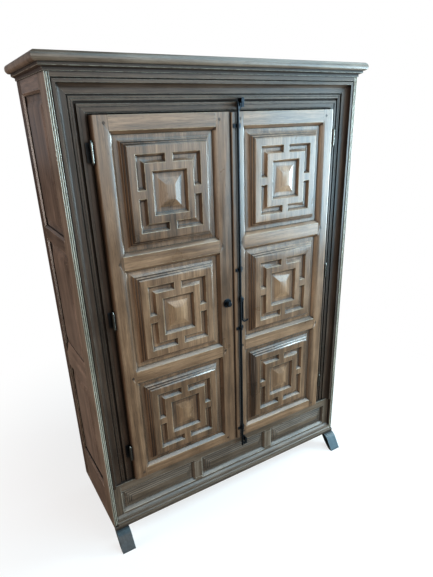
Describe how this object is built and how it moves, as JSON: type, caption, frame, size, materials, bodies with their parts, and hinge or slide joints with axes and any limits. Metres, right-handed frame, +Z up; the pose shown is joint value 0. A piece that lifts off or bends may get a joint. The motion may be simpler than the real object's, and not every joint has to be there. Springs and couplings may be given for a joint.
{
  "type": "two-door panelled cupboard",
  "caption": "Tall waxed walnut cupboard: carved panel doors in a stepped moulded frame, panelled base and sides, raked front feet, turning iron rod bolt, lever, hinges and knob.",
  "frame": {"origin": "centre of the footprint, on the floor", "axes": "+X to the right seen from the front, +Y to the back, +Z up; the doors face -Y"},
  "size_m": [1.326, 0.504, 1.9],
  "materials": {
    "waxed_walnut": "satin",
    "unwaxed_walnut": "matte",
    "wrought_iron": "satin",
    "worn_hinge_iron": "satin"
  },
  "bodies": {
    "carcass": {"back_boards": "unwaxed_walnut", "back_feet": "waxed_walnut", "back_posts": "waxed_walnut", "back_rails": "unwaxed_walnut", "base_backing": "unwaxed_walnut", "base_panels": "waxed_walnut", "base_rails": "waxed_walnut", "base_uprights": "waxed_walnut", "bolt_keepers": "wrought_iron", "bottom_board": "unwaxed_walnut", "cornice_front": "waxed_walnut", "cornice_side_left": "waxed_walnut", "cornice_side_right": "waxed_walnut", "door_jamb_left": "waxed_walnut", "door_jamb_right": "waxed_walnut", "door_sill": "waxed_walnut", "front_foot_left": "waxed_walnut", "front_foot_right": "waxed_walnut", "front_post_left": "waxed_walnut", "front_post_right": "waxed_walnut", "head_moulding": "waxed_walnut", "hinge_frame_leaves_left": "worn_hinge_iron", "hinge_frame_leaves_right": "worn_hinge_iron", "hinge_pins": "worn_hinge_iron", "jamb_moulding_left": "waxed_walnut", "jamb_moulding_right": "waxed_walnut", "lintel": "waxed_walnut", "plinth_boards": "waxed_walnut", "plinth_moulding": "waxed_walnut", "rope_carving_left": "waxed_walnut", "rope_carving_right": "waxed_walnut", "shelf_cleats": "unwaxed_walnut", "shelves": "unwaxed_walnut", "side_panels_left": "waxed_walnut", "side_panels_right": "waxed_walnut", "side_rails_left": "waxed_walnut", "side_rails_right": "waxed_walnut", "top_board": "waxed_walnut"},
    "door_left": {"door_left_hinge_stile": "waxed_walnut", "door_left_meeting_stile": "waxed_walnut", "door_left_panel_lower": "waxed_walnut", "door_left_panel_middle": "waxed_walnut", "door_left_panel_upper": "waxed_walnut", "door_left_pegs": "waxed_walnut", "door_left_rails": "waxed_walnut", "hinge_door_leaves_left": "worn_hinge_iron", "knob_rosette": "wrought_iron"},
    "door_right": {"door_right_hinge_stile": "waxed_walnut", "door_right_meeting_stile": "waxed_walnut", "door_right_panel_lower": "waxed_walnut", "door_right_panel_middle": "waxed_walnut", "door_right_panel_upper": "waxed_walnut", "door_right_pegs": "waxed_walnut", "door_right_rails": "waxed_walnut", "hinge_door_leaves_right": "worn_hinge_iron", "astragal": "waxed_walnut", "rod_guides": "wrought_iron"},
    "bolt": {"bolt_rod": "wrought_iron"},
    "bolt_handle": {"bolt_lever": "wrought_iron"},
    "knob": {"door_knob": "wrought_iron"}
  },
  "joints": [
    {"name": "door_left_hinge", "type": "hinge", "parent": "carcass", "child": "door_left", "pos_m": [-0.5185, -0.175, 1.031], "axis": [0, 0, 1], "range_deg": [-110, 0]},
    {"name": "door_right_hinge", "type": "hinge", "parent": "carcass", "child": "door_right", "pos_m": [0.5185, -0.175, 1.031], "axis": [0, 0, 1], "range_deg": [0, 110]},
    {"name": "bolt_turn", "type": "hinge", "parent": "door_right", "child": "bolt", "pos_m": [0.0284, -0.1895, 1], "axis": [0, 0, 1], "range_deg": [-90, 0]},
    {"name": "bolt_handle_lift", "type": "hinge", "parent": "bolt", "child": "bolt_handle", "pos_m": [0.0386, -0.1895, 1], "axis": [1, 0, 0], "range_deg": [-60, 0]},
    {"name": "knob_turn", "type": "hinge", "parent": "door_left", "child": "knob", "pos_m": [-0.031, -0.178, 0.993], "axis": [0, -1, 0], "range_deg": [0, 90]}
  ]
}
